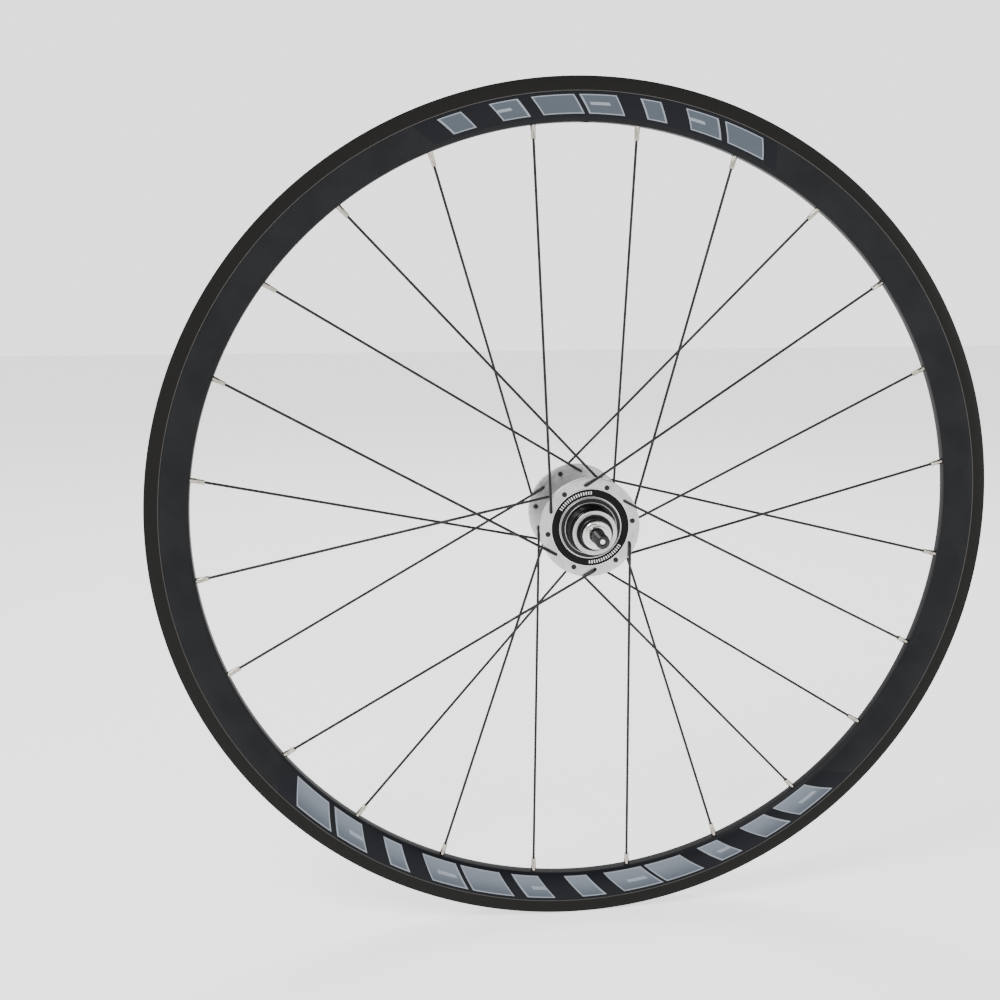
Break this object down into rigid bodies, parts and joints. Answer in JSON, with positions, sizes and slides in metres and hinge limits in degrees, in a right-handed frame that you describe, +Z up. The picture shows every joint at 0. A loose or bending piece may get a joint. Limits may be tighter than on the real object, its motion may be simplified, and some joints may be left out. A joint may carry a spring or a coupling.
{
  "type": "bicycle wheel",
  "caption": "Rear track bicycle wheel: deep clincher rim, two-cross laced spokes and a high-flange threaded hub that turns on sealed bearings on a solid axle.",
  "frame": {"origin": "middle of the wheel, on the axle's axis and midway between the two locknut faces", "axes": "+Y along the axle towards the plain side, -Y towards the sprocket side, +X forwards, +Z up, through the valve hole"},
  "size_m": [0.6339, 0.156, 0.634],
  "materials": {
    "rim_anodised": "black anodised, fine satin grain",
    "rim_tape": "woven rim tape",
    "spoke_black": "black oxide, satin",
    "nipple_silver": "nickel plated",
    "hub_silver": "turned and polished, satin",
    "hub_band": "black anodised",
    "seal_rubber": "smooth black",
    "bearing_steel": "ground",
    "cage_brass": "pressed",
    "axle_black": "black oxide, threaded",
    "sleeve_steel": "turned",
    "spacer_chrome": "polished chrome plate",
    "cover_black": "black anodised, turned"
  },
  "bodies": {
    "axle_assembly": {"axle": "axle_black", "axle_sleeve": "sleeve_steel", "cover_spacer_drive": "cover_black", "cover_spacer_far": "cover_black", "locknut_drive": "spacer_chrome", "locknut_far": "spacer_chrome", "bearing_inner_race_drive": "bearing_steel", "bearing_inner_race_far": "bearing_steel"},
    "wheel": {"rim": "rim_anodised", "rim_tape": "rim_tape", "spoke_drive_1": "spoke_black", "spoke_drive_2": "spoke_black", "spoke_drive_3": "spoke_black", "spoke_drive_4": "spoke_black", "spoke_drive_5": "spoke_black", "spoke_drive_6": "spoke_black", "spoke_drive_7": "spoke_black", "spoke_drive_8": "spoke_black", "spoke_drive_9": "spoke_black", "spoke_drive_10": "spoke_black", "spoke_drive_11": "spoke_black", "spoke_drive_12": "spoke_black", "spoke_far_1": "spoke_black", "spoke_far_2": "spoke_black", "spoke_far_3": "spoke_black", "spoke_far_4": "spoke_black", "spoke_far_5": "spoke_black", "spoke_far_6": "spoke_black", "spoke_far_7": "spoke_black", "spoke_far_8": "spoke_black", "spoke_far_9": "spoke_black", "spoke_far_10": "spoke_black", "spoke_far_11": "spoke_black", "spoke_far_12": "spoke_black", "nipples_drive_leading": "nipple_silver", "nipples_drive_trailing": "nipple_silver", "nipples_far_leading": "nipple_silver", "nipples_far_trailing": "nipple_silver", "hub_shell": "hub_silver", "hub_band_drive": "hub_band", "hub_band_far": "hub_band", "bearing_outer_race_drive": "bearing_steel", "bearing_seals_drive": "seal_rubber", "bearing_outer_race_far": "bearing_steel", "bearing_seals_far": "seal_rubber", "dust_seal_drive": "seal_rubber", "dust_seal_far": "seal_rubber"},
    "ball_set_drive": {"bearing_balls_drive": "bearing_steel", "bearing_cage_drive": "cage_brass"},
    "ball_set_far": {"bearing_balls_far": "bearing_steel", "bearing_cage_far": "cage_brass"}
  },
  "joints": [
    {"name": "wheel_spin", "type": "hinge", "parent": "axle_assembly", "child": "wheel", "pos_m": [0, 0, 0], "axis": [0, 1, 0], "continuous": true},
    {"name": "ball_set_drive_orbit", "type": "hinge", "parent": "axle_assembly", "child": "ball_set_drive", "pos_m": [0, -0.0426, 0], "axis": [0, 1, 0], "continuous": true},
    {"name": "ball_set_far_orbit", "type": "hinge", "parent": "axle_assembly", "child": "ball_set_far", "pos_m": [0, 0.0383, 0], "axis": [0, 1, 0], "continuous": true}
  ],
  "couplings": [
    {"joint": "ball_set_drive_orbit", "follows": "wheel_spin", "ratio": 0.63222},
    {"joint": "ball_set_far_orbit", "follows": "wheel_spin", "ratio": 0.63222}
  ]
}
